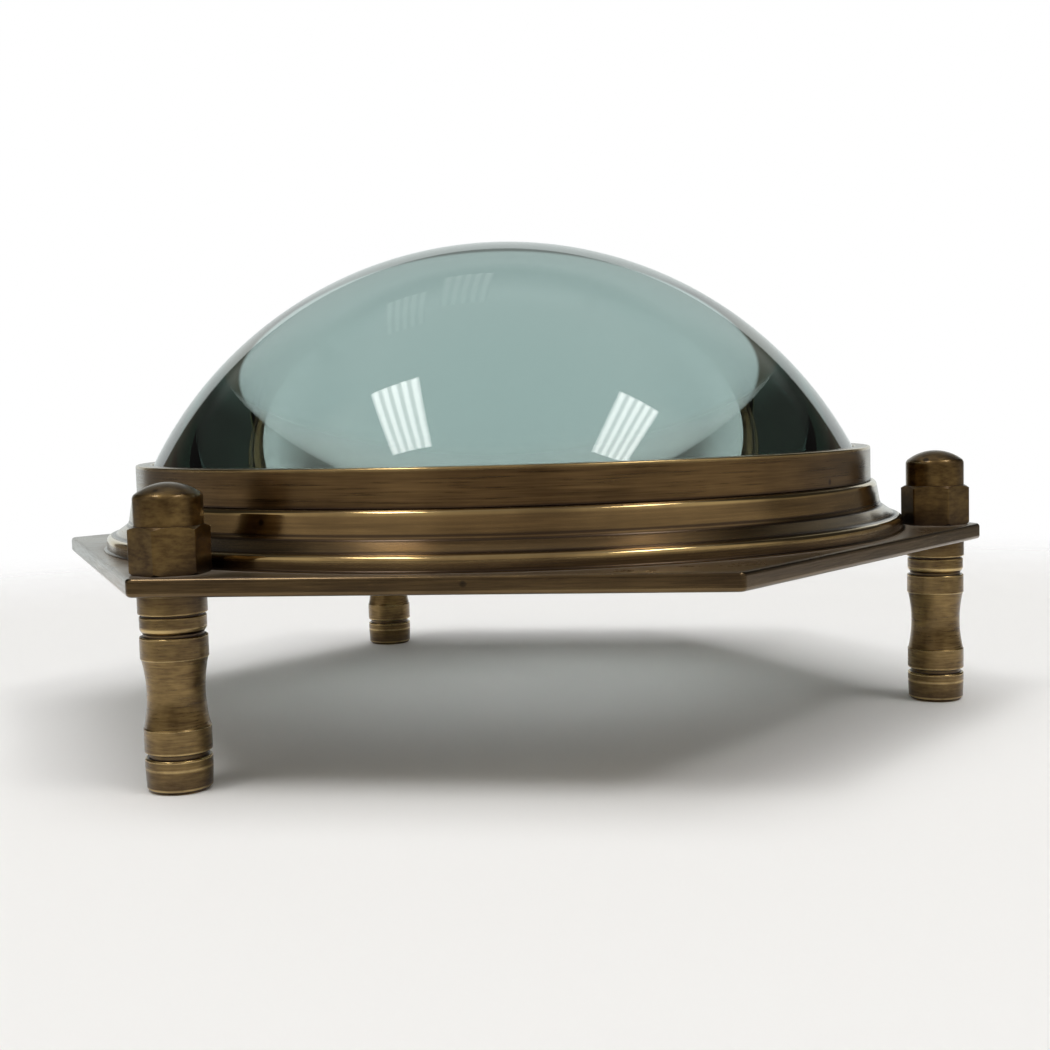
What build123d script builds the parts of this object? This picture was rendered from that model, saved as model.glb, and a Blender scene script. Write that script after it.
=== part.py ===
from build123d import *
import os
from math import asin, cos, degrees, radians, sin, sqrt

# Dome magnifier: a plano-convex glass dome in a turned brass ring, on a hexagonal
# plate with three turned legs at alternate corners. Millimetres, +Z up.
# The origin is on the ring's axis, in the plane that the three feet stand on.
# +X points at one of the three legs.

# --- Plate and legs ---------------------------------------------------------
hexagon_radius = 103.5            # centre to corner
hexagon_corner_rounding = 1.6
plate_bottom = 34.8               # also the height of the legs
plate_thickness = 3.35
plate_edge_rounding = 0.75
plate_top = plate_bottom + plate_thickness
leg_circle_radius = 93.9
leg_angles = {"right": 0, "back_left": 120, "front_left": -120}

# --- Glass dome -------------------------------------------------------------
dome_radius = 85.9                # spherical face
dome_centre = 16.0                # height of the sphere's centre
lens_radius = 76.8                # widest, where the ground edge bevel begins
lens_base = 54.1                  # flat face
lens_base_radius = 76.4

# --- Turned ring ------------------------------------------------------------
aperture_radius = 76.0            # clear opening in the plate and the foot of the ring
throat_radius = 73.0              # narrower bore just below the glass
throat_height = 48.5              # where the bore has narrowed to the throat
flare_height = 44.0               # where it begins to narrow
seat_height = 52.9                # shoulder that carries the gasket and the glass
pocket_radius = 77.3              # recess around the gasket
spigot_radius = 78.4              # upstand that the bezel screws onto
spigot_top = 53.9
shoulder_height = 48.4            # seam between the bezel and the housing
bezel_radius = 80.0
bezel_bore_radius = 78.5
bezel_top = 55.6
bezel_lip_radius = 76.4
bezel_lip_thickness = 1.4
flange_radius = 86.5
flange_foot_radius = 87.1         # outer end of the root fillet
flange_foot_height = 0.2

# --- Fasteners --------------------------------------------------------------
stud_radius = 2.95                # M6
stud_hole_radius = 3.05
stud_depth_in_leg = 12.0
stud_depth_in_nut = 10.6
tapping_allowance = 0.6           # hole depth beyond the end of a stud or screw
nut_across_flats = 12.5
nut_hex_height = 8.4
nut_corner_rounding = 0.5
nut_cap_radius = 6.05
nut_shoulder = 14.0               # height above the plate where the cap's dome begins
nut_cap_rounding = 1.2
nut_cap_turn = radians(52)        # angle that the rounding sweeps before the dome begins
nut_height = 15.9
# Each nut stops at its own angle when it is tightened.
nut_turns = {"right": 15, "back_left": 45, "front_left": -1.5}
screw_circle_radius = 81.0
screw_count = 6
screw_radius = 1.95               # M4
screw_head_radius = 3.7
screw_inset = 0.1                 # heads sit just below the plate's underside
screw_length = 5.0
screw_slot_width = 1.0
screw_slot_depth = 0.9
screw_hole_radius = 2.05

os.makedirs("parts", exist_ok=True)


def around(radius, angle, height=0.0):
    """Point at an angle around the ring's axis."""
    return (radius * cos(radians(angle)), radius * sin(radians(angle)), height)


def meridian(radius, angle):
    """Upright sketch plane whose vertical axis is the axis of a turned piece."""
    return Plane(origin=around(radius, angle), x_dir=(1, 0, 0), z_dir=(0, -1, 0))


def upward_axis(radius, angle):
    """Vertical axis of a turned piece."""
    return Axis(around(radius, angle), (0, 0, 1))


def points(outline):
    """Corner points of an outline of (radius, height, rounding) rows."""
    return [(radius, height) for radius, height, _ in outline]


def roundings(outline, closed=True):
    """Corner roundings of an outline; an open outline's two ends have none."""
    rounding = [row[2] for row in outline]
    return rounding if closed else rounding[1:-1]


# --- Lens: spherical face, ground edge bevel, flat base ---------------------
edge_rise = sqrt(dome_radius**2 - lens_radius**2)
edge_angle = degrees(asin(edge_rise / dome_radius))
with BuildPart() as lens:
    with BuildSketch(Plane.XZ):
        with BuildLine():
            CenterArc((0, dome_centre), dome_radius, edge_angle, 90 - edge_angle)
            Polyline(
                (0, dome_centre + dome_radius),
                (0, lens_base),
                (lens_base_radius, lens_base),
                (lens_radius, dome_centre + edge_rise),
            )
        make_face()
    revolve(axis=Axis.Z)
lens.part.label = "lens"
export_step(lens.part, "parts/lens.step")

# --- Lens gasket: flat ring between the seat and the glass ------------------
with BuildPart() as lens_gasket:
    with BuildSketch(Plane.XY.offset(seat_height)):
        Circle(lens_base_radius)
        Circle(throat_radius + 0.5, mode=Mode.SUBTRACT)
    extrude(amount=lens_base - seat_height)
lens_gasket.part.label = "lens_gasket"
export_step(lens_gasket.part, "parts/lens_gasket.step")

# --- Bezel ring: plain band whose lip holds the glass down ------------------
lip_underside = bezel_top - bezel_lip_thickness
bezel_outline = [
    (bezel_bore_radius, shoulder_height, 0),
    (bezel_radius, shoulder_height, 0.3),
    (bezel_radius, bezel_top, 0.4),
    (bezel_lip_radius, bezel_top, 0.25),
    (lens_radius + 0.25, lip_underside, 0),
    (bezel_bore_radius, lip_underside, 0),
]
with BuildPart() as bezel_ring:
    with BuildSketch(Plane.XZ):
        with BuildLine():
            FilletPolyline(*points(bezel_outline), radius=roundings(bezel_outline), close=True)
        make_face()
    revolve(axis=Axis.Z)
bezel_ring.part.label = "bezel_ring"
export_step(bezel_ring.part, "parts/bezel_ring.step")

# --- Housing ring: flange, cove, rounded step, spigot, lens seat and bore ---
flange_foot = plate_top + flange_foot_height
housing_outline = [
    (aperture_radius, plate_top, 0),
    (flange_foot_radius, plate_top, 0),
    (flange_foot_radius, flange_foot, 0),
    (flange_radius, flange_foot, 0.59),
    (flange_radius, 40.9, 1.0),
    (84.9, 41.3, 1.5),
    (82.15, 43.25, 0.8),
    (81.85, 44.0, 1.5),
    (81.1, shoulder_height, 1.0),
    (spigot_radius, shoulder_height, 0),
    (spigot_radius, spigot_top, 0.3),
    (pocket_radius, spigot_top, 0),
    (pocket_radius, seat_height, 0),
    (throat_radius, seat_height, 0.4),
    (throat_radius, throat_height, 3.0),
    (aperture_radius, flare_height, 3.0),
]
with BuildPart() as housing_ring:
    with BuildSketch(Plane.XZ):
        with BuildLine():
            FilletPolyline(*points(housing_outline), radius=roundings(housing_outline), close=True)
        make_face()
    revolve(axis=Axis.Z)
    with Locations(Plane(origin=(0, 0, plate_top), z_dir=(0, 0, -1))):
        with PolarLocations(screw_circle_radius, screw_count, start_angle=30):
            Hole(screw_hole_radius, depth=screw_length - plate_thickness + 2 * tapping_allowance)
housing_ring.part.label = "housing_ring"
export_step(housing_ring.part, "parts/housing_ring.step")

# --- Base plate: regular hexagon with a viewing aperture --------------------
with BuildPart() as base_plate:
    with BuildSketch(Plane.XY.offset(plate_bottom)) as hexagon:
        RegularPolygon(hexagon_radius, 6)
        fillet(hexagon.vertices(), hexagon_corner_rounding)
    extrude(amount=plate_thickness)
    rims = base_plate.faces().filter_by(Axis.Z).edges()
    fillet(rims, plate_edge_rounding)
    with Locations((0, 0, plate_top)):
        Hole(aperture_radius)
        with PolarLocations(leg_circle_radius, len(leg_angles)):
            Hole(stud_hole_radius)
    with Locations(Plane(origin=(0, 0, plate_bottom), z_dir=(0, 0, -1))):
        with PolarLocations(screw_circle_radius, screw_count, start_angle=30):
            CounterSinkHole(
                screw_hole_radius,
                screw_head_radius + 2 * screw_inset,
                depth=plate_thickness,
                counter_sink_angle=90,
            )
    aperture_rims = base_plate.edges().filter_by(GeomType.CIRCLE).filter_by(
        lambda edge: abs(edge.radius - aperture_radius) < 0.01
    )
    chamfer(aperture_rims.sort_by(Axis.Z)[0], 0.4)
base_plate.part.label = "base_plate"
export_step(base_plate.part, "parts/base_plate.step")

# --- Housing screws: slotted countersunk, fitted from below -----------------
head_face = plate_bottom + screw_inset
screw_outline = [
    (0, head_face),
    (screw_head_radius, head_face),
    (screw_radius, head_face + screw_head_radius - screw_radius),
    (screw_radius, head_face + screw_length - 0.4),
    (screw_radius - 0.4, head_face + screw_length),
    (0, head_face + screw_length),
]
for number in range(1, screw_count + 1):
    angle = 30 + (number - 1) * 360 / screw_count
    slot_plane = Plane(origin=around(screw_circle_radius, angle, head_face))
    with BuildPart() as housing_screw:
        with BuildSketch(meridian(screw_circle_radius, angle)):
            with BuildLine():
                Polyline(*screw_outline, close=True)
            make_face()
        revolve(axis=upward_axis(screw_circle_radius, angle))
        with BuildSketch(slot_plane):
            Rectangle(3 * screw_head_radius, screw_slot_width, rotation=angle + 17 * number)
        extrude(amount=screw_slot_depth, mode=Mode.SUBTRACT)
    housing_screw.part.label = f"housing_screw_{number}"
    export_step(housing_screw.part, f"parts/housing_screw_{number}.step")

# --- Legs: foot, lower collar, waist, upper collars and bead ----------------
lower_outline = [
    (0, 0, 0),
    (5.1, 0, 0.2),
    (5.68, 0.7, 0.3),
    (5.86, 4.2, 0),
    (5.86, 6.05, 0.62),
    (5.15, 6.05, 0),
    (5.15, 6.75, 0),
    (5.87, 7.0, 0.25),
    (5.87, 11.15, 0.15),
    (5.72, 11.4, 0),
]
waist = [(5.72, 11.4), (5.07, 17.3), (5.72, 23.2)]
upper_outline = [
    (5.72, 23.2, 0),
    (5.92, 23.45, 0.15),
    (5.92, 27.3, 0.25),
    (5.25, 27.4, 0),
    (5.25, 27.8, 0),
    (5.8, 28.55, 0.9),
    (5.8, 30.85, 0.4),
    (5.35, 30.85, 0),
    (5.35, 31.15, 0),
    (6.02, 31.3, 0.15),
    (6.02, plate_bottom, 0.1),
    (stud_hole_radius, plate_bottom, 0),
    (stud_hole_radius, plate_bottom - stud_depth_in_leg - tapping_allowance, 0),
    (0, plate_bottom - stud_depth_in_leg - tapping_allowance, 0),
    (0, 0, 0),
]
for place, angle in leg_angles.items():
    with BuildPart() as leg:
        with BuildSketch(meridian(leg_circle_radius, angle)):
            with BuildLine():
                FilletPolyline(*points(lower_outline), radius=roundings(lower_outline, closed=False))
                ThreePointArc(*waist)
                FilletPolyline(*points(upper_outline), radius=roundings(upper_outline, closed=False))
            make_face()
        revolve(axis=upward_axis(leg_circle_radius, angle))
    leg.part.label = f"leg_{place}"
    export_step(leg.part, f"parts/leg_{place}.step")

# --- Studs: threaded rods from each leg into its nut ------------------------
for place, angle in leg_angles.items():
    with BuildPart() as leg_stud:
        with BuildSketch(Plane(origin=around(leg_circle_radius, angle, plate_bottom - stud_depth_in_leg))):
            Circle(stud_radius)
        extrude(amount=stud_depth_in_leg + plate_thickness + stud_depth_in_nut)
        chamfer(leg_stud.faces().filter_by(Axis.Z).edges(), 0.6)
    leg_stud.part.label = f"leg_stud_{place}"
    export_step(leg_stud.part, f"parts/leg_stud_{place}.step")

# --- Cap nuts: hexagon with turned ends, plain cap, low dome ----------------
nut_corner_radius = nut_across_flats / sqrt(3)
hex_top = plate_top + nut_hex_height
turned_ends = [
    (0, plate_top),
    (nut_corner_radius - 0.57, plate_top),
    (nut_corner_radius, plate_top + 0.5),
    (nut_corner_radius, hex_top - 0.6),
    (nut_across_flats / 2, hex_top),
    (0, hex_top),
]
dome_start = (nut_cap_radius - nut_cap_rounding * (1 - cos(nut_cap_turn)), plate_top + nut_shoulder)
cap_side_top = (nut_cap_radius, dome_start[1] - nut_cap_rounding * sin(nut_cap_turn))
dome_apex = (0, plate_top + nut_height)
dome_rise = nut_height - nut_shoulder
nut_dome_radius = (dome_start[0]**2 + dome_rise**2) / (2 * dome_rise)
for place, angle in leg_angles.items():
    nut_plane = Plane(
        origin=around(leg_circle_radius, angle, plate_top),
        x_dir=around(1, nut_turns[place]),
    )
    with BuildPart() as cap_nut:
        with BuildSketch(nut_plane):
            RegularPolygon(nut_corner_radius, 6, rotation=30)
        extrude(amount=nut_hex_height)
        fillet(cap_nut.edges().filter_by(Axis.Z), nut_corner_rounding)
        with BuildSketch(meridian(leg_circle_radius, angle)):
            with BuildLine():
                Polyline(*turned_ends, close=True)
            make_face()
        revolve(axis=upward_axis(leg_circle_radius, angle), mode=Mode.INTERSECT)
        with BuildSketch(meridian(leg_circle_radius, angle)):
            with BuildLine():
                Polyline(dome_apex, (0, hex_top), (nut_cap_radius, hex_top))
                Line((nut_cap_radius, hex_top), cap_side_top)
                RadiusArc(cap_side_top, dome_start, -nut_cap_rounding)
                RadiusArc(dome_start, dome_apex, -nut_dome_radius)
            make_face()
        revolve(axis=upward_axis(leg_circle_radius, angle))
        with Locations(Plane(origin=around(leg_circle_radius, angle, plate_top), z_dir=(0, 0, -1))):
            Hole(stud_hole_radius, depth=stud_depth_in_nut + tapping_allowance)
    cap_nut.part.label = f"cap_nut_{place}"
    export_step(cap_nut.part, f"parts/cap_nut_{place}.step")
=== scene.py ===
import bpy
from math import atan2, ceil, cos, hypot, pi, radians, sin, sqrt, tan
from mathutils import Matrix, Vector


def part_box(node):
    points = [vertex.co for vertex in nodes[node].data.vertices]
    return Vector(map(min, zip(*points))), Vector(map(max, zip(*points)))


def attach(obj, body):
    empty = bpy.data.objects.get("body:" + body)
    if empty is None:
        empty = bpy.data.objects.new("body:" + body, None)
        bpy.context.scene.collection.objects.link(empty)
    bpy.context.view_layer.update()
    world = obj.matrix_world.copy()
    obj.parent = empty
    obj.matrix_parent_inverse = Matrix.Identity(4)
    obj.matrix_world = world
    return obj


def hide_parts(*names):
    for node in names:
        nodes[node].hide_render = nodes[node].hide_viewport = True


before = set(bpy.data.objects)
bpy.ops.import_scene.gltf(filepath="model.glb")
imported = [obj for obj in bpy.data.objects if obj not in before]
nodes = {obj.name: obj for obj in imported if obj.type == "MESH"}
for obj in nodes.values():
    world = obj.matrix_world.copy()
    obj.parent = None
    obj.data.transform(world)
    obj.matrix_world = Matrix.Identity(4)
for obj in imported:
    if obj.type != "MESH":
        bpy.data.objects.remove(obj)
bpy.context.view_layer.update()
scene = bpy.context.scene
scene.cycles.max_bounces = 24
scene.cycles.glossy_bounces = 16
scene.cycles.transmission_bounces = 20
mm = 0.001


# --- Camera ---------------------------------------------------------------------
def aim_camera(location, turn, tilt, roll, lens):
    """Camera at a point.

    Turn is clockwise from +Y, tilt is below the horizon, and roll leans the camera to the right.
    """
    forward = Vector((sin(turn) * cos(tilt), cos(turn) * cos(tilt), -sin(tilt)))
    level_right = Vector((cos(turn), -sin(turn), 0))
    down = forward.cross(level_right)
    right = level_right * cos(roll) + down * sin(roll)
    up = right.cross(forward)
    data = bpy.data.cameras.new("camera")
    data.lens = lens
    data.sensor_width = 36
    data.clip_start = 0.01
    camera = bpy.data.objects.new("camera", data)
    axes = Matrix((right, up, -forward)).transposed().to_4x4()
    camera.matrix_world = Matrix.Translation(location) @ axes
    scene.collection.objects.link(camera)
    scene.camera = camera


aim_camera(
    location=Vector((0.0488, -0.3213, 0.0640)),
    turn=radians(-7.884),
    tilt=radians(4.356),
    roll=radians(1.530),
    lens=49.57,
)


# --- Node helpers ---------------------------------------------------------------
def add(tree, kind, inputs=None, **settings):
    """New shader node; an input is a value or another node's socket."""
    node = tree.nodes.new("ShaderNode" + kind)
    for name, value in settings.items():
        setattr(node, name, value)
    for name, value in (inputs or {}).items():
        if isinstance(value, bpy.types.NodeSocket):
            tree.links.new(value, node.inputs[name])
        else:
            node.inputs[name].default_value = value
    return node


def calculate(tree, operation, *values):
    """Output of a Math node."""
    return add(tree, "Math", dict(enumerate(values)), operation=operation).outputs[0]


def ramp(tree, value, low, high, to_low=0.0, to_high=1.0):
    """Smooth step of a value from one range to another."""
    inputs = {"Value": value, "From Min": low, "From Max": high, "To Min": to_low, "To Max": to_high}
    return add(tree, "MapRange", inputs, interpolation_type="SMOOTHSTEP").outputs[0]


def blend(tree, factor, first, second):
    """Colour between two colours."""
    node = add(tree, "Mix", data_type="RGBA")
    for index, value in ((0, factor), (6, first), (7, second)):
        if isinstance(value, bpy.types.NodeSocket):
            tree.links.new(value, node.inputs[index])
        elif index:
            node.inputs[index].default_value = (*value, 1)
        else:
            node.inputs[index].default_value = value
    return node.outputs[2]


def new_material(name):
    """Material with only an output and a Principled shader."""
    material = bpy.data.materials.new(name)
    material.use_nodes = True
    tree = material.node_tree
    tree.nodes.clear()
    output = add(tree, "OutputMaterial")
    shader = add(tree, "BsdfPrincipled")
    tree.links.new(shader.outputs[0], output.inputs["Surface"])
    return material, tree, shader, output


# --- Room: a pale backdrop behind the object, walls and ceiling -----------------
backdrop_colour = (0.80, 0.85, 0.84)
room_colours = {
    "low_behind": (0.15, 0.13, 0.10),
    "low_beside": (0.23, 0.21, 0.18),
    "low_viewer": (0.10, 0.08, 0.07),
    "wall_behind": (0.035, 0.034, 0.032),
    "wall_in_front": (0.54, 0.51, 0.46),
    "wall_viewer": (0.34, 0.31, 0.28),
    "ceiling": (0.34, 0.33, 0.32),
    "patch": (0.26, 0.27, 0.26),
}


def backdrop_mask(tree, aside, elevation):
    """1 on the backdrop and 0 off it; it is rounded above its widest line and straight below it."""
    half_width = radians(38.2)
    height = radians(31.5)
    widest_below = radians(4)
    squareness = 2.4
    above = calculate(tree, "MAXIMUM", calculate(tree, "ADD", elevation, widest_below), 0.0)
    across = calculate(tree, "POWER", calculate(tree, "DIVIDE", aside, half_width), squareness)
    upward = calculate(tree, "POWER", calculate(tree, "DIVIDE", above, height), squareness)
    return ramp(tree, calculate(tree, "ADD", across, upward), 0.94, 1.06, 1, 0)


def room_colour(tree, aside, elevation):
    """Room without its backdrop.

    Its lower part is dim. The wall above it is dark behind and beside the object and bright on the
    camera's side, except around the viewer. A grey patch lies above the backdrop, under the ceiling.
    """
    beside = ramp(tree, aside, radians(50), radians(75))
    at_viewer = ramp(tree, aside, radians(150), radians(170))
    in_front = ramp(tree, aside, radians(85), radians(105))
    low = blend(tree, beside, room_colours["low_behind"], room_colours["low_beside"])
    low = blend(tree, at_viewer, low, room_colours["low_viewer"])
    wall = blend(tree, in_front, room_colours["wall_behind"], room_colours["wall_in_front"])
    wall = blend(tree, at_viewer, wall, room_colours["wall_viewer"])
    wall_start = ramp(tree, in_front, 0.0, 1.0, radians(10), radians(3))
    wall_end = ramp(tree, in_front, 0.0, 1.0, radians(19), radians(11))
    colour = blend(tree, ramp(tree, elevation, wall_start, wall_end), low, wall)
    overhead = ramp(tree, elevation, radians(50), radians(65))
    colour = blend(tree, overhead, colour, room_colours["ceiling"])
    patch_side = ramp(tree, aside, radians(30), radians(48), 1, 0)
    patch_top = ramp(tree, elevation, radians(42), radians(50), 1, 0)
    patch_bottom = ramp(tree, elevation, radians(20), radians(26))
    patch = calculate(tree, "MULTIPLY", calculate(tree, "MULTIPLY", patch_side, patch_top), patch_bottom)
    return blend(tree, patch, colour, room_colours["patch"])


def make_world():
    """Room that the glass and the brass mirror, while the camera itself sees plain white.

    Aside is the angle from the backdrop's middle, which lies behind the object as the camera sees it.
    """
    world = bpy.data.worlds.new("studio")
    world.use_nodes = True
    scene.world = world
    tree = world.node_tree
    tree.nodes.clear()
    direction = add(tree, "TexCoord").outputs["Generated"]
    x, y, z = add(tree, "SeparateXYZ", {0: direction}).outputs
    backdrop_turn = radians(7.5)
    turn = calculate(tree, "ADD", calculate(tree, "ARCTAN2", x, y), backdrop_turn)
    aside = calculate(tree, "PINGPONG", turn, pi)
    elevation = calculate(tree, "ARCSINE", z)
    on_backdrop = backdrop_mask(tree, aside, elevation)
    colour = blend(tree, on_backdrop, room_colour(tree, aside, elevation), backdrop_colour)
    seen = add(tree, "LightPath").outputs["Is Camera Ray"]
    colour = blend(tree, seen, colour, (1.0, 1.0, 1.0))
    background = add(tree, "Background", {"Color": colour, "Strength": 1.0})
    output = add(tree, "OutputWorld")
    tree.links.new(background.outputs[0], output.inputs["Surface"])


# --- Floor and lights -----------------------------------------------------------
def flat_sheet(name, width, depth, material, faces_up):
    """Level rectangle around the origin."""
    x, y = width / 2, depth / 2
    corners = [(-x, -y, 0), (x, -y, 0), (x, y, 0), (-x, y, 0)]
    order = (0, 1, 2, 3) if faces_up else (0, 3, 2, 1)
    mesh = bpy.data.meshes.new(name)
    mesh.from_pydata(corners, [], [order])
    mesh.materials.append(material)
    sheet = bpy.data.objects.new(name, mesh)
    scene.collection.objects.link(sheet)
    return sheet


def make_floor():
    """Pale floor that fades out, so that no horizon shows."""
    side = 6.0
    fade_start, fade_end = 0.20, 0.46
    material, tree, shader, output = new_material("pale_floor")
    shader.inputs["Base Color"].default_value = (0.90, 0.90, 0.90, 1)
    shader.inputs["Roughness"].default_value = 0.95
    distance = add(tree, "VectorMath", {0: add(tree, "TexCoord").outputs["Object"]}, operation="LENGTH")
    fade = ramp(tree, distance.outputs["Value"], fade_start, fade_end)
    clear = add(tree, "BsdfTransparent")
    mixed = add(tree, "MixShader", {0: fade, 1: shader.outputs[0], 2: clear.outputs[0]})
    tree.links.new(mixed.outputs[0], output.inputs["Surface"])
    floor = flat_sheet("floor", side, side, material, faces_up=True)


def make_panel(name, center, size, turn, radiance):
    """Ceiling light panel with bright stripes along it."""
    width, depth = size
    stripes = 5
    material = bpy.data.materials.new(name)
    material.use_nodes = True
    tree = material.node_tree
    tree.nodes.clear()
    split = add(tree, "SeparateXYZ", {0: add(tree, "TexCoord").outputs["Object"]})
    phase = calculate(tree, "MULTIPLY", split.outputs["X"], 2 * pi * stripes / width)
    wave = calculate(tree, "COSINE", phase)
    strength = ramp(tree, wave, -0.9, 0.7, 0.5 * radiance, radiance)
    emission = add(tree, "Emission", {"Color": (1.0, 0.99, 0.97, 1), "Strength": strength})
    add(tree, "OutputMaterial", {"Surface": emission.outputs[0]})
    panel = flat_sheet(name, width, depth, material, faces_up=False)
    panel.location = center
    panel.rotation_euler = (0, 0, turn)


def make_fill(height, side, power):
    """Broad overhead light that whitens the floor and shows in no reflection."""
    data = bpy.data.lights.new("fill", "AREA")
    data.size = side
    data.energy = power
    light = bpy.data.objects.new("fill", data)
    light.location = (0, 0, height)
    light.visible_glossy = False
    light.visible_transmission = False
    scene.collection.objects.link(light)


ceiling_height = 2.2
panel_turn = radians(4.5)
make_world()
make_floor()
make_fill(height=1.6, side=1.6, power=14)
make_panel("panel_left", (-0.86, -0.86, ceiling_height), (0.49, 1.03), panel_turn, 11)
make_panel("panel_right", (1.39, -0.66, ceiling_height), (0.50, 1.03), panel_turn, 11)
make_panel("panel_back_left", (-0.83, 0.88, ceiling_height), (0.32, 0.76), panel_turn, 0.55)
make_panel("panel_back", (-0.42, 1.22, ceiling_height), (0.34, 0.86), panel_turn, 0.5)


# --- Turned pieces --------------------------------------------------------------
pole_radius = 1e-6      # an outline's point this close to its axis, in millimetres, is a single vertex


def smooth_rows(start, middle, end, count):
    """Rows of a circular arc through three (radius, height) points, for an outline."""
    (ax, ay), (bx, by), (cx, cy) = start, middle, end
    scale = 2 * (ax * (by - cy) + bx * (cy - ay) + cx * (ay - by))
    a, b, c = ax * ax + ay * ay, bx * bx + by * by, cx * cx + cy * cy
    ox = (a * (by - cy) + b * (cy - ay) + c * (ay - by)) / scale
    oy = (a * (cx - bx) + b * (ax - cx) + c * (bx - ax)) / scale
    radius = hypot(ax - ox, ay - oy)
    first = atan2(ay - oy, ax - ox)
    sweep = (atan2(cy - oy, cx - ox) - first + pi) % (2 * pi) - pi
    rows = []
    for step in range(count + 1):
        angle = first + sweep * step / count
        rounding = None if 0 < step < count else 0
        rows.append((ox + radius * cos(angle), oy + radius * sin(angle), rounding))
    return rows


def outward(direction):
    """Direction square to a stretch of an outline, on the side away from the solid."""
    return Vector((direction.y, -direction.x))


def rotated(vector, angle):
    """Vector turned counter-clockwise."""
    x = vector.x * cos(angle) - vector.y * sin(angle)
    y = vector.x * sin(angle) + vector.y * cos(angle)
    return Vector((x, y))


def rounded_corner(corner, before, after, turn, run, rounding, given_wear):
    """Points of an arc that rounds a corner, and of two unworn strips beside it.

    Before and after are the directions of the flats that meet there, turn is the angle from one to
    the other, and run is the shorter one's length, which limits the arc.
    """
    largest_step = radians(9)
    strip = min(0.35, run / 4)
    half_tangent = tan(abs(turn) / 2)
    reach = min(rounding * half_tangent, run * 0.499)
    radius = reach / half_tangent
    side = 1 if turn > 0 else -1
    wear = given_wear[0] if given_wear else side
    out_before, out_after = outward(before), outward(after)
    center = corner - before * reach - out_before * radius * side
    start = corner - before * (reach + strip)
    end = corner + after * (reach + strip)
    points = [(start.x, start.y, out_before, out_before, 0)]
    steps = max(2, ceil(abs(turn) / largest_step))
    for step in range(steps + 1):
        normal = rotated(out_before, turn * step / steps)
        place = center + normal * radius * side
        points.append((place.x, place.y, normal, normal, wear))
    points.append((end.x, end.y, out_after, out_after, 0))
    return points


def turned_profile(rows, closed=True):
    """Points of an outline of (radius, height, rounding) rows, in millimetres and counter-clockwise.

    Each point is (radius, height, normal before, normal after, wear). Wear is 1 on an outer
    rounding, -1 in an inner one and 0 on flat stretches. A rounding of None is a point on a curve.
    A fourth value in a row is that rounding's wear.
    """
    straight = 1e-4
    count = len(rows)
    points = []
    for index, (radius, height, rounding, *given_wear) in enumerate(rows):
        here = Vector((radius, height))
        before = here - Vector(rows[index - 1][:2])
        after = Vector(rows[(index + 1) % count][:2]) - here
        if not closed and index in (0, count - 1):
            normal = outward(before if index else after).normalized()
            points.append((radius, height, normal, normal, 0))
            continue
        run = min(before.length, after.length)
        before.normalize()
        after.normalize()
        turn = atan2(before.x * after.y - before.y * after.x, before.dot(after))
        if rounding is None:
            normal = (outward(before) + outward(after)).normalized()
            points.append((radius, height, normal, normal, 0))
        elif rounding == 0 or abs(turn) < straight:
            points.append((radius, height, outward(before), outward(after), 0))
        else:
            points += rounded_corner(here, before, after, turn, run, rounding, given_wear)
    return points


def revolve(points, closed, center, segments):
    """Vertices, their wear, faces and corner normals of an outline turned round an upright axis."""
    angles = [2 * pi * step / segments for step in range(segments)]
    circle = [(cos(angle), sin(angle)) for angle in angles]
    vertices, starts, wear = [], [], []
    for radius, height, _, _, value in points:
        starts.append(len(vertices))
        reach = radius * mm
        turns = circle if radius > pole_radius else [(0, 0)]
        wear += [value] * len(turns)
        vertices += [(center[0] + reach * x, center[1] + reach * y, height * mm) for x, y in turns]
    faces, normals = [], []
    last = len(points) if closed else len(points) - 1
    for index in range(last):
        after = (index + 1) % len(points)
        low, high = points[index], points[after]
        low_pole, high_pole = low[0] <= pole_radius, high[0] <= pole_radius
        if low_pole and high_pole:
            continue
        for step in range(segments):
            step_on = (step + 1) % segments
            corners = [(index, step), (index, step_on), (after, step_on), (after, step)]
            if low_pole:
                corners = [(index, step), (after, step_on), (after, step)]
            if high_pole:
                corners = [(index, step), (index, step_on), (after, step)]
            face = []
            for point, turn in corners:
                pole = low_pole if point == index else high_pole
                face.append(starts[point] if pole else starts[point] + turn)
                normal = low[3] if point == index else high[2]
                x, y = circle[turn]
                normals.append((normal.x * x, normal.x * y, normal.y))
            faces.append(face)
    return vertices, wear, faces, normals


def turned_piece(name, node, material, points, closed=True, center=(0, 0), segments=720):
    """Solid of revolution with exact normals, which stands for a CAD node."""
    vertices, wear, faces, normals = revolve(points, closed, center, segments)
    mesh = bpy.data.meshes.new(name)
    mesh.from_pydata(vertices, [], faces)
    mesh.attributes.new("wear", "FLOAT", "POINT").data.foreach_set("value", wear)
    mesh.polygons.foreach_set("use_smooth", [True] * len(faces))
    mesh.normals_split_custom_set(normals)
    mesh.materials.append(material)
    piece = bpy.data.objects.new(name, mesh)
    scene.collection.objects.link(piece)
    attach(piece, "root")
    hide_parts(node)


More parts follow.
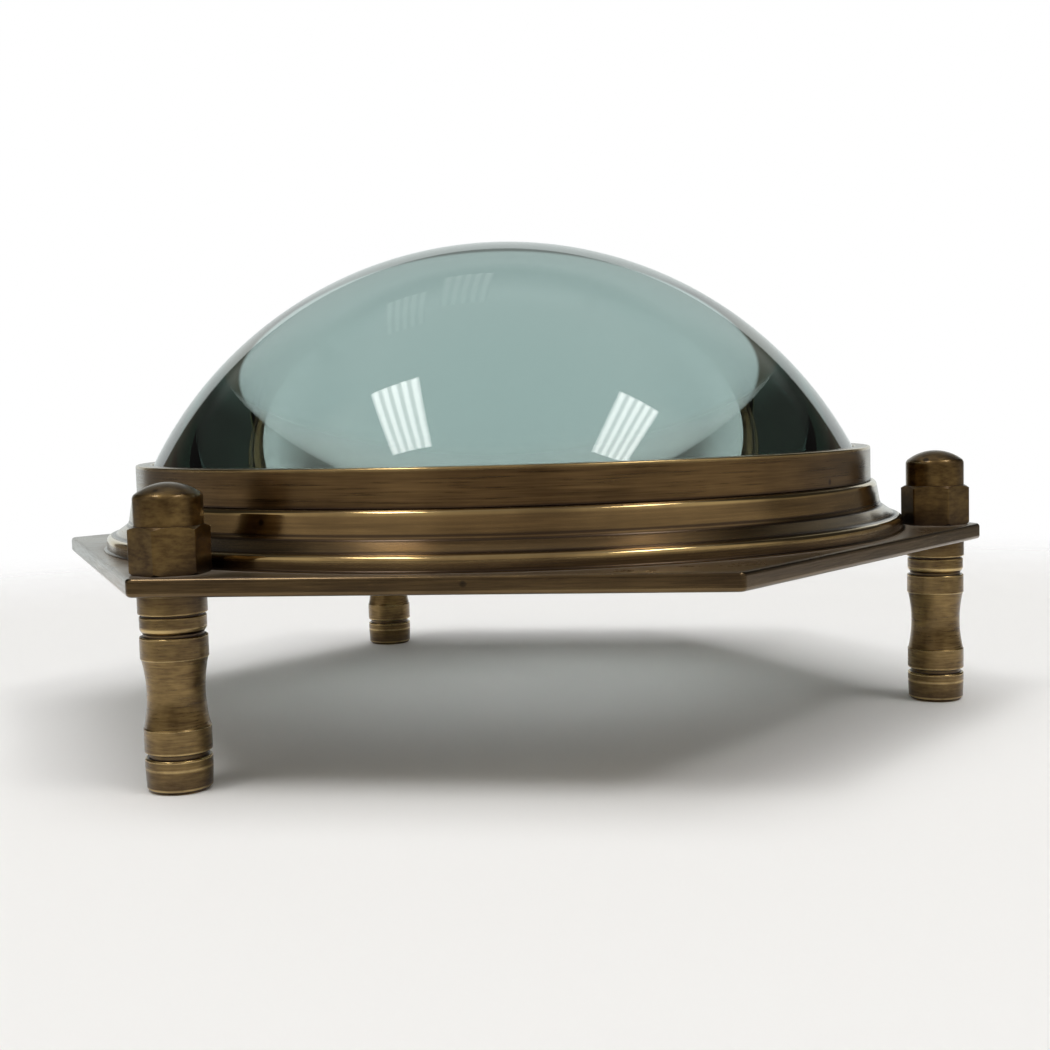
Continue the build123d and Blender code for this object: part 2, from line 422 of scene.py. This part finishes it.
# --- Materials ------------------------------------------------------------------
def turned_coordinates(tree, center):
    """Direction around an axis, height and radius, in metres."""
    split = add(tree, "SeparateXYZ", {0: add(tree, "TexCoord").outputs["Object"]})
    x = calculate(tree, "SUBTRACT", split.outputs["X"], center[0])
    y = calculate(tree, "SUBTRACT", split.outputs["Y"], center[1])
    squares = calculate(tree, "ADD", calculate(tree, "MULTIPLY", x, x), calculate(tree, "MULTIPLY", y, y))
    smallest = 1e-5
    radius = calculate(tree, "MAXIMUM", calculate(tree, "SQRT", squares), smallest)
    east = calculate(tree, "DIVIDE", x, radius)
    north = calculate(tree, "DIVIDE", y, radius)
    return east, north, split.outputs["Z"], radius


def brushed_noise(tree, coordinates, along, across, detail=2.0, roughness=0.6):
    """Noise in long lines round an axis: along is its frequency round it, across per metre."""
    east, north, height, radius = coordinates
    vector = add(tree, "CombineXYZ", {
        0: calculate(tree, "MULTIPLY", east, along),
        1: calculate(tree, "MULTIPLY", north, along),
        2: calculate(tree, "MULTIPLY", height, across),
    })
    noise = add(tree, "TexNoise", {
        "Vector": vector.outputs[0],
        "W": calculate(tree, "MULTIPLY", radius, across),
        "Scale": 1.0,
        "Detail": detail,
        "Roughness": roughness,
    }, noise_dimensions="4D")
    return noise.outputs["Fac"]


def straight_noise(tree, scale, detail=3.0, roughness=0.6, offset=(0, 0, 0)):
    """Noise in the object's own space; scale is its frequency per metre along each axis."""
    coordinates = add(tree, "TexCoord").outputs["Object"]
    moved = add(tree, "Mapping", {"Vector": coordinates, "Scale": scale, "Location": offset})
    inputs = {"Vector": moved.outputs[0], "Scale": 1.0, "Detail": detail, "Roughness": roughness}
    return add(tree, "TexNoise", inputs).outputs["Fac"]


def pit_mask(tree, scale):
    """Small round pits, of which only some cells have one."""
    pit_radius = 0.12
    empty_share = 0.72
    coordinates = add(tree, "TexCoord").outputs["Object"]
    cells = add(tree, "TexVoronoi", {"Vector": coordinates, "Scale": scale, "Randomness": 1.0})
    draw = add(tree, "SeparateXYZ", {0: cells.outputs["Color"]}).outputs[0]
    chosen = calculate(tree, "GREATER_THAN", draw, empty_share)
    inside = ramp(tree, cells.outputs["Distance"], pit_radius / 2, pit_radius, 1, 0)
    return calculate(tree, "MULTIPLY", inside, chosen)


def contrast(tree, value, weight):
    """How far a noise value lies from its middle, times a weight."""
    return calculate(tree, "MULTIPLY", calculate(tree, "SUBTRACT", value, 0.5), weight)


def weighted_sum(tree, total, *terms):
    """Total plus every (value, weight) term."""
    for value, weight in terms:
        total = calculate(tree, "ADD", total, calculate(tree, "MULTIPLY", value, weight))
    return total


def patina_tone(tree, lines, streaks, mottle, look):
    """Place between the dark and the light patina, from lines, streaks and mottle together."""
    tone = contrast(tree, lines, look["line_contrast"])
    tone = calculate(tree, "ADD", tone, contrast(tree, streaks, look["streak_contrast"]))
    tone = calculate(tree, "ADD", tone, contrast(tree, mottle, look["mottle_contrast"]))
    return ramp(tree, calculate(tree, "ADD", tone, 0.5), 0.0, 1.0)


def settled_dust(tree, hollow, look):
    """Dust on faces that look up: an even haze and specks, thicker in the corners."""
    upward = add(tree, "SeparateXYZ", {0: add(tree, "NewGeometry").outputs["Normal"]}).outputs["Z"]
    specks = ramp(tree, straight_noise(tree, (2600,) * 3, 2.0), 0.56, 0.72)
    amount = calculate(tree, "ADD", calculate(tree, "MULTIPLY", specks, 0.55), look["haze"])
    corner = ramp(tree, hollow, 0.55, 0.95, 1.8, 0.5)
    lying = ramp(tree, upward, 0.6, 0.95)
    dust = calculate(tree, "MULTIPLY", calculate(tree, "MULTIPLY", amount, corner), lying)
    thickest = 0.85
    return calculate(tree, "MINIMUM", calculate(tree, "MULTIPLY", dust, look["dust"]), thickest)


# Dark colour with two jobs: painted shade in occluded recesses and between parts, and the real dark oxide
# of the inner roundings.
shade_and_oxide_colour = (0.030, 0.017, 0.013)
pit_colour = (0.012, 0.008, 0.005)
bare_colour = (0.62, 0.45, 0.20)
dust_colour = (0.30, 0.25, 0.20)


def finish_brass(tree, shader, lines, streaks, look):
    """Antiqued brass: patina, brush lines, painted shade from ambient occlusion in recesses and between
    parts with dark oxide in the inner roundings, worn edges, pits and dust.
    """
    mottle = straight_noise(tree, (look["mottle"],) * 3, 4.0)
    colour = blend(tree, patina_tone(tree, lines, streaks, mottle, look), look["dark"], look["light"])

    # Ambient occlusion paints shade into recesses, under parts and between parts. The inner roundings,
    # whose wear is -1, get their real dark oxide on top of it.
    hollow = add(tree, "AmbientOcclusion", {"Distance": look["hollow"]}, samples=6).outputs["AO"]
    edges = add(tree, "Attribute", attribute_name="wear").outputs["Fac"]
    shade_and_oxide = ramp(tree, hollow, 0.42, 0.92, look["shade_and_oxide"], 0.0)
    shade_and_oxide = calculate(tree, "MAXIMUM", shade_and_oxide, calculate(tree, "MULTIPLY", edges, -0.8))
    colour = blend(tree, shade_and_oxide, colour, shade_and_oxide_colour)

    pits = pit_mask(tree, look["pits"])
    colour = blend(tree, calculate(tree, "MULTIPLY", pits, 0.8), colour, pit_colour)

    patches = ramp(tree, mottle, 0.30, 0.62, 0.35, 1.0)
    worn = calculate(tree, "MULTIPLY", calculate(tree, "MAXIMUM", edges, 0.0), patches)
    worn = calculate(tree, "MULTIPLY", worn, look["wear"])
    colour = blend(tree, worn, colour, bare_colour)

    dust = settled_dust(tree, hollow, look)
    colour = blend(tree, dust, colour, dust_colour)
    tree.links.new(colour, shader.inputs["Base Color"])
    tree.links.new(calculate(tree, "SUBTRACT", 1.0, dust), shader.inputs["Metallic"])

    roughness = calculate(tree, "ADD", look["roughness"], contrast(tree, lines, 0.25))
    roughness = weighted_sum(tree, roughness, (shade_and_oxide, 0.15), (worn, -0.12), (dust, 0.4))
    tree.links.new(roughness, shader.inputs["Roughness"])

    relief = calculate(tree, "SUBTRACT", lines, calculate(tree, "MULTIPLY", pits, 2.0))
    bump = add(tree, "Bump", {"Height": relief, "Strength": look["relief"], "Distance": 0.00003})
    tree.links.new(bump.outputs["Normal"], shader.inputs["Normal"])
    shader.inputs["Coat Weight"].default_value = 0.35
    shader.inputs["Coat Roughness"].default_value = 0.16


# Frequencies are per metre and lengths in metres.
brass_look = {
    "dark": (0.066, 0.037, 0.014),
    "light": (0.33, 0.205, 0.085),
    "mottle": 45.0,
    "mottle_contrast": 0.7,
    "line_contrast": 0.9,
    "streak_contrast": 0.7,
    "hollow": 0.006,
    # How dark the painted shade from ambient occlusion gets.
    "shade_and_oxide": 0.85,
    "pits": 130.0,
    "wear": 0.8,
    "roughness": 0.30,
    "haze": 0.05,
    "dust": 0.6,
    "relief": 0.25,
}


def make_turned_brass(name, center=(0, 0), along=5.0, across=2600.0, brushed=True, **changes):
    """Brass worked on a lathe: lines run round the axis."""
    material, tree, shader, _ = new_material(name)
    look = {**brass_look, **changes}
    coordinates = turned_coordinates(tree, center)
    lines = brushed_noise(tree, coordinates, along, across, 3.0)
    streaks = brushed_noise(tree, coordinates, along * 0.6, across / 5, 2.0)
    finish_brass(tree, shader, lines, streaks, look)
    if brushed:
        shader.inputs["Anisotropic"].default_value = 0.55
        shader.inputs["Anisotropic Rotation"].default_value = 0.25
        tangent = add(tree, "Tangent", direction_type="RADIAL", axis="Z")
        tree.links.new(tangent.outputs[0], shader.inputs["Tangent"])
    return material


def make_plain_brass(name, scale, **changes):
    """Brass with straight or no lines; scale is the grain's frequency per metre along each axis."""
    material, tree, shader, _ = new_material(name)
    look = {**brass_look, **changes}
    lines = straight_noise(tree, scale, 3.0)
    streaks = straight_noise(tree, tuple(value / 5 for value in scale), 2.0, offset=(3, 5, 7))
    finish_brass(tree, shader, lines, streaks, look)
    return material


def make_glass():
    """Clear glass with a pale aqua body and faint wiping marks."""
    material, tree, shader, output = new_material("lens_glass")
    shader.inputs["Base Color"].default_value = (1, 1, 1, 1)
    shader.inputs["IOR"].default_value = 1.52
    shader.inputs["Transmission Weight"].default_value = 1.0
    smear = straight_noise(tree, (16, 60, 16), 4.0, 0.7)
    tree.links.new(ramp(tree, smear, 0.50, 0.85, 0.0, 0.035), shader.inputs["Roughness"])
    absorption = add(tree, "VolumeAbsorption", {"Color": (0.30, 0.51, 0.48, 1), "Density": 10.0})
    tree.links.new(absorption.outputs[0], output.inputs["Volume"])
    return material


def make_rubber():
    """Matt black rubber sheet."""
    material, tree, shader, _ = new_material("gasket_rubber")
    grain = straight_noise(tree, (900,) * 3, 3.0)
    colour = blend(tree, grain, (0.012, 0.012, 0.012), (0.035, 0.034, 0.033))
    tree.links.new(colour, shader.inputs["Base Color"])
    tree.links.new(ramp(tree, grain, 0.2, 0.8, 0.6, 0.85), shader.inputs["Roughness"])
    bump = add(tree, "Bump", {"Height": grain, "Strength": 0.3, "Distance": 0.0001})
    tree.links.new(bump.outputs["Normal"], shader.inputs["Normal"])
    return material


# --- Lens -----------------------------------------------------------------------
def make_lens():
    """Smooth dome, ground edge bevel and flat base, at the CAD lens's size."""
    low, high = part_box("lens")
    top, base = high.z / mm, low.z / mm
    edge_radius = high.x / mm
    base_radius = edge_radius - 0.4
    dome_radius = 85.9
    center = top - dome_radius
    edge_height = center + sqrt(dome_radius**2 - edge_radius**2)
    rounding = 0.08
    rows = [(0, base, 0), (base_radius, base, rounding), (edge_radius, edge_height, rounding)]
    points = turned_profile(rows + [(0, top, 0)], closed=False)[:-1]
    steps = 260
    sweep = atan2(edge_radius, edge_height - center)
    for step in range(1, steps + 1):
        angle = sweep * (1 - step / steps)
        normal = Vector((sin(angle), cos(angle)))
        radius = dome_radius * sin(angle) if step < steps else 0
        points.append((radius, center + dome_radius * cos(angle), normal, normal, 0))
    turned_piece("lens_dome", "lens", make_glass(), points, closed=False)


make_lens()


# --- Turned rings ---------------------------------------------------------------
def make_bezel():
    """Band round the glass, with the lip that holds it down."""
    low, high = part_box("bezel_ring")
    bottom, top = low.z / mm, high.z / mm
    outer_radius = high.x / mm
    bore_radius = 78.5
    lip_radius = 76.4
    lip_underside = top - 1.4
    glass_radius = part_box("lens")[1].x / mm + 0.25
    rows = [
        (bore_radius, bottom, 0),
        (outer_radius, bottom, 0.3, -1),
        (outer_radius, top, 0.4),
        (lip_radius, top, 0.25),
        (glass_radius, lip_underside, 0),
        (bore_radius, lip_underside, 0),
    ]
    brass = make_turned_brass("brushed_brass", roughness=0.30, dust=0.2, light=(0.29, 0.18, 0.075))
    turned_piece("bezel_band", "bezel_ring", brass, turned_profile(rows))


def make_housing():
    """Housing ring: root fillet, flange, cove, step, shoulder, spigot, seat and bore."""
    low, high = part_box("housing_ring")
    bottom, spigot_top = low.z / mm, high.z / mm
    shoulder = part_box("bezel_ring")[0].z / mm
    foot_top = bottom + 0.2
    seat = spigot_top - 1.0
    foot_radius = high.x / mm
    flange_radius = 86.5
    spigot_radius = 78.4
    pocket_radius = 77.3
    throat_radius = 73.0
    aperture_radius = 76.0
    rows = [
        (aperture_radius, bottom, 0),
        (foot_radius, bottom, 0),
        (foot_radius, foot_top, 0),
        (flange_radius, foot_top, 0.59),
        (flange_radius, bottom + 2.75, 1.0),
        (84.9, bottom + 3.15, 1.5),
        (82.15, bottom + 5.1, 0.8),
        (81.85, bottom + 5.85, 1.5),
        (81.1, shoulder, 1.0),
        (spigot_radius, shoulder, 0),
        (spigot_radius, spigot_top, 0.3),
        (pocket_radius, spigot_top, 0),
        (pocket_radius, seat, 0),
        (throat_radius, seat, 0.4),
        (throat_radius, shoulder + 0.1, 3.0),
        (aperture_radius, bottom + 5.85, 3.0),
    ]
    brass = make_turned_brass(
        "turned_brass",
        roughness=0.20,
        line_contrast=0.6,
        dust=0.25,
        light=(0.42, 0.275, 0.115),
        dark=(0.11, 0.066, 0.026),
    )
    turned_piece("housing_turned", "housing_ring", brass, turned_profile(rows))


make_bezel()
make_housing()


# --- Legs -----------------------------------------------------------------------
def make_leg(place):
    """Turned leg: foot, lower collar, waist, upper collars and bead."""
    low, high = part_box(f"leg_{place}")
    center = ((low.x + high.x) / 2, (low.y + high.y) / 2)
    top = high.z / mm
    hole_radius = 3.05
    hole_bottom = top - 12.6
    rows = [
        (0, 0, 0),
        (5.1, 0, 0.2),
        (5.68, 0.7, 0.3),
        (5.86, 4.2, 0.05),
        (5.86, 6.05, 0.62),
        (5.15, 6.05, 0.05),
        (5.15, 6.75, 0.05),
        (5.87, 7.0, 0.25),
        (5.87, 11.15, 0.15),
    ]
    rows += smooth_rows((5.72, 11.4), (5.07, 17.3), (5.72, 23.2), 24)
    rows += [
        (5.92, 23.45, 0.15),
        (5.92, 27.3, 0.25),
        (5.25, 27.4, 0.05),
        (5.25, 27.8, 0.05),
        (5.8, 28.55, 0.9),
        (5.8, 30.85, 0.4),
        (5.35, 30.85, 0.05),
        (5.35, 31.15, 0.05),
        (6.02, 31.3, 0.15),
        (6.02, top, 0.1),
        (hole_radius, top, 0),
        (hole_radius, hole_bottom, 0),
        (0, hole_bottom, 0),
    ]
    brass = make_turned_brass(
        f"leg_brass_{place}",
        center,
        along=1.6,
        across=3200.0,
        brushed=False,
        roughness=0.30,
        light=(0.30, 0.20, 0.075),
        dust=0.2,
        mottle=150.0,
        mottle_contrast=0.9,
    )
    points = turned_profile(rows, closed=False)
    turned_piece(
        f"leg_{place}_turned", f"leg_{place}", brass, points,
        closed=False, center=center, segments=160,
    )


for place in ("right", "back_left", "front_left"):
    make_leg(place)


# --- Finishes on the CAD pieces -------------------------------------------------
def dress(prefix, material):
    """Give a material to every CAD node whose name starts so."""
    for name, node in nodes.items():
        if name.startswith(prefix):
            node.data.materials.clear()
            node.data.materials.append(material)


plate_brass = make_plain_brass(
    "plate_brass",
    (120, 120, 2600),
    roughness=0.22,
    line_contrast=0.5,
    dust=1.0,
    haze=0.40,
    dark=(0.045, 0.027, 0.012),
    light=(0.20, 0.13, 0.055),
)
nut_brass = make_plain_brass(
    "nut_brass",
    (500, 500, 1400),
    roughness=0.36,
    mottle=180.0,
    mottle_contrast=0.9,
    light=(0.27, 0.175, 0.062),
)
screw_brass = make_plain_brass("screw_brass", (900, 900, 900), roughness=0.35)
stud_brass = make_plain_brass("stud_brass", (300, 300, 2000), roughness=0.35, light=(0.6, 0.45, 0.2))
dress("base_plate", plate_brass)
dress("cap_nut", nut_brass)
dress("housing_screw", screw_brass)
dress("leg_stud", stud_brass)
dress("lens_gasket", make_rubber())

scene.view_settings.view_transform = "Standard"
